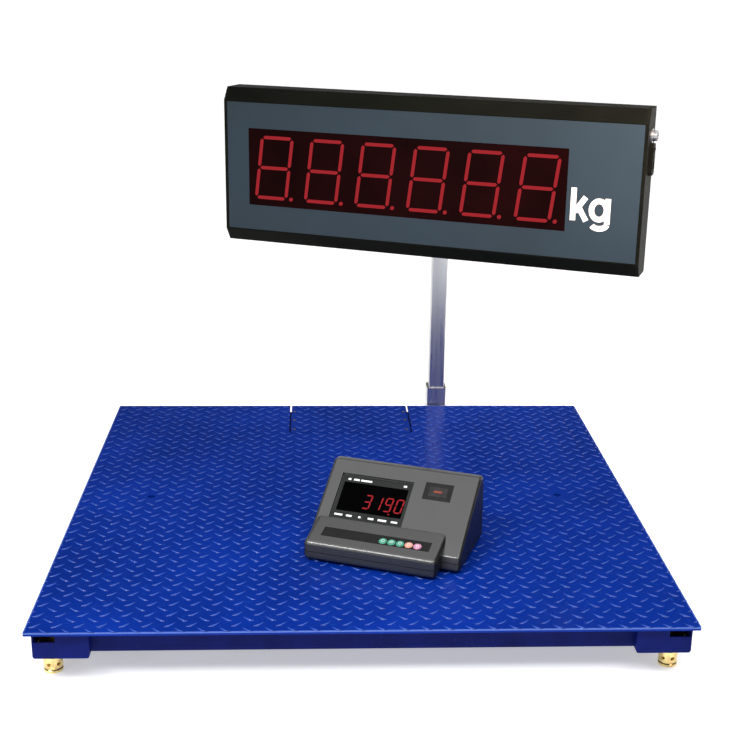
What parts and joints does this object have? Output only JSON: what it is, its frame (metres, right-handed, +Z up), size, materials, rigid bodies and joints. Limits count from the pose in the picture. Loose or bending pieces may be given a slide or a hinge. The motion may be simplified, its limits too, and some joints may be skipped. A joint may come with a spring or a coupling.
{
  "type": "platform shipping scale",
  "caption": "Low square tread-plate floor scale on four load cells and levelling feet, with a desktop indicator on the deck and a swivelling red-digit read-out on a rear column.",
  "frame": {"origin": "on the floor, at the centre of the four feet", "axes": "+X to the right seen from the front, +Y to the back edge with the hatch and column, +Z up"},
  "size_m": [1.2976, 1.3844, 0.927],
  "materials": {
    "blue_paint": "gloss enamel over steel tread plate",
    "navy_paint": "gloss enamel over formed steel",
    "cell_plate": "yellow chromate over alloy steel",
    "zinc_yellow": "yellow zinc plate",
    "bright_steel": "bright zinc plate",
    "stainless": "brushed",
    "black_rubber": "moulded",
    "black_nylon": "moulded nylon",
    "board_green": "solder mask",
    "case_black": "black powder coat on extruded aluminium",
    "cap_black": "moulded, fine texture",
    "panel_grey": "satin",
    "red_filter": "dark red acrylic",
    "digit_module": "moulded reflector face",
    "shell_grey": "metallic grey moulding",
    "shell_black": "moulded",
    "window_black": "tinted acrylic",
    "overlay_black": "printed polyester",
    "key_green": "moulded",
    "key_orange": "moulded",
    "key_pink": "moulded",
    "battery_case": "moulded"
  },
  "bodies": {
    "platform": {"deck_plate": "blue_paint", "front_channel": "navy_paint", "rear_channel": "navy_paint", "side_channels": "navy_paint", "deck_ribs": "navy_paint", "corner_housings": "navy_paint", "load_cells": "cell_plate", "cell_spacers": "bright_steel", "cell_bolts": "zinc_yellow", "lifting_bosses": "navy_paint", "junction_tray": "navy_paint", "junction_box": "stainless", "junction_lid": "stainless", "junction_board": "board_green", "junction_glands": "black_nylon", "platform_socket": "black_nylon", "column_base": "stainless", "column_tube": "stainless", "column_cap": "black_nylon", "column_bolts": "bright_steel"},
    "hatch": {"hatch_cover": "blue_paint", "hatch_screws": "bright_steel"},
    "head": {"column_head": "case_black", "tilt_pin": "bright_steel"},
    "display": {"display_frame": "case_black", "display_caps": "cap_black", "display_panel": "panel_grey", "display_window": "red_filter", "display_digits": "digit_module", "display_board": "board_green", "display_supply": "bright_steel", "display_bracket": "case_black", "display_socket": "bright_steel", "display_inlet": "cap_black"},
    "display_rocker": {"display_switch": "cap_black"},
    "indicator": {"indicator_upper": "shell_grey", "indicator_lower": "shell_black", "indicator_window": "window_black", "indicator_digits": "digit_module", "indicator_board": "board_green", "indicator_battery": "battery_case", "indicator_feet": "black_rubber", "indicator_sockets": "bright_steel", "keypad_overlay": "overlay_black"},
    "indicator_rocker": {"power_switch": "cap_black"},
    "pad_fl": {"foot_pad_fl": "zinc_yellow"},
    "stud_fl": {"foot_stud_fl": "zinc_yellow"},
    "pad_fr": {"foot_pad_fr": "zinc_yellow"},
    "stud_fr": {"foot_stud_fr": "zinc_yellow"},
    "pad_rl": {"foot_pad_rl": "zinc_yellow"},
    "stud_rl": {"foot_stud_rl": "zinc_yellow"},
    "pad_rr": {"foot_pad_rr": "zinc_yellow"},
    "stud_rr": {"foot_stud_rr": "zinc_yellow"},
    "key_1": {"key_1": "key_green"},
    "key_2": {"key_2": "key_green"},
    "key_3": {"key_3": "key_green"},
    "key_4": {"key_4": "key_orange"},
    "key_5": {"key_5": "key_pink"}
  },
  "joints": [
    {"name": "foot_fl_lift", "type": "slide", "parent": "platform", "child": "pad_fl", "axis": [0, 0, -1], "range_m": [0, 0.01]},
    {"name": "foot_fl_turn", "type": "hinge", "parent": "pad_fl", "child": "stud_fl", "pos_m": [-0.566, -0.525, 0.02], "axis": [0, 0, -1], "range_deg": [0, 1800]},
    {"name": "foot_fr_lift", "type": "slide", "parent": "platform", "child": "pad_fr", "axis": [0, 0, -1], "range_m": [0, 0.01]},
    {"name": "foot_fr_turn", "type": "hinge", "parent": "pad_fr", "child": "stud_fr", "pos_m": [0.566, -0.525, 0.02], "axis": [0, 0, -1], "range_deg": [0, 1800]},
    {"name": "foot_rl_lift", "type": "slide", "parent": "platform", "child": "pad_rl", "axis": [0, 0, -1], "range_m": [0, 0.01]},
    {"name": "foot_rl_turn", "type": "hinge", "parent": "pad_rl", "child": "stud_rl", "pos_m": [-0.566, 0.525, 0.02], "axis": [0, 0, -1], "range_deg": [0, 1800]},
    {"name": "foot_rr_lift", "type": "slide", "parent": "platform", "child": "pad_rr", "axis": [0, 0, -1], "range_m": [0, 0.01]},
    {"name": "foot_rr_turn", "type": "hinge", "parent": "pad_rr", "child": "stud_rr", "pos_m": [0.566, 0.525, 0.02], "axis": [0, 0, -1], "range_deg": [0, 1800]},
    {"name": "hatch_lift", "type": "slide", "parent": "platform", "child": "hatch", "axis": [0, 0, 1], "range_m": [0, 0.2]},
    {"name": "indicator_lift", "type": "slide", "parent": "platform", "child": "indicator", "axis": [0, 0, 1], "range_m": [0, 0.15]},
    {"name": "display_swivel", "type": "hinge", "parent": "platform", "child": "head", "pos_m": [0.232, 0.636, 0.732], "axis": [0, 0, 1], "range_deg": [-45, 45]},
    {"name": "display_tilt", "type": "hinge", "parent": "head", "child": "display", "pos_m": [0.21715, 0.60102, 0.732], "axis": [0.9205, -0.3907, 0], "range_deg": [-10, 10]},
    {"name": "display_switch_rock", "type": "hinge", "parent": "display", "child": "display_rocker", "pos_m": [0.68648, 0.32467, 0.824], "axis": [0.3907, 0.9205, 0], "range_deg": [0, 12]},
    {"name": "key_1_press", "type": "slide", "parent": "indicator", "child": "key_1", "axis": [0.0937, 0.2441, -0.9652], "range_m": [0, 0.0008], "stiffness_N_per_m": 300, "springref_m": -0.002},
    {"name": "key_2_press", "type": "slide", "parent": "indicator", "child": "key_2", "axis": [0.0937, 0.2441, -0.9652], "range_m": [0, 0.0008], "stiffness_N_per_m": 300, "springref_m": -0.002},
    {"name": "key_3_press", "type": "slide", "parent": "indicator", "child": "key_3", "axis": [0.0937, 0.2441, -0.9652], "range_m": [0, 0.0008], "stiffness_N_per_m": 300, "springref_m": -0.002},
    {"name": "key_4_press", "type": "slide", "parent": "indicator", "child": "key_4", "axis": [0.0937, 0.2441, -0.9652], "range_m": [0, 0.0008], "stiffness_N_per_m": 300, "springref_m": -0.002},
    {"name": "key_5_press", "type": "slide", "parent": "indicator", "child": "key_5", "axis": [0.0937, 0.2441, -0.9652], "range_m": [0, 0.0008], "stiffness_N_per_m": 300, "springref_m": -0.002},
    {"name": "power_switch_rock", "type": "hinge", "parent": "indicator", "child": "indicator_rocker", "pos_m": [0.19101, -0.19576, 0.169], "axis": [-0.9336, 0.3584, 0], "range_deg": [0, 12]}
  ],
  "couplings": [
    {"joint": "foot_fl_turn", "follows": "foot_fl_lift", "rad_per_m": 3141.6},
    {"joint": "foot_fr_turn", "follows": "foot_fr_lift", "rad_per_m": 3141.6},
    {"joint": "foot_rl_turn", "follows": "foot_rl_lift", "rad_per_m": 3141.6},
    {"joint": "foot_rr_turn", "follows": "foot_rr_lift", "rad_per_m": 3141.6}
  ]
}
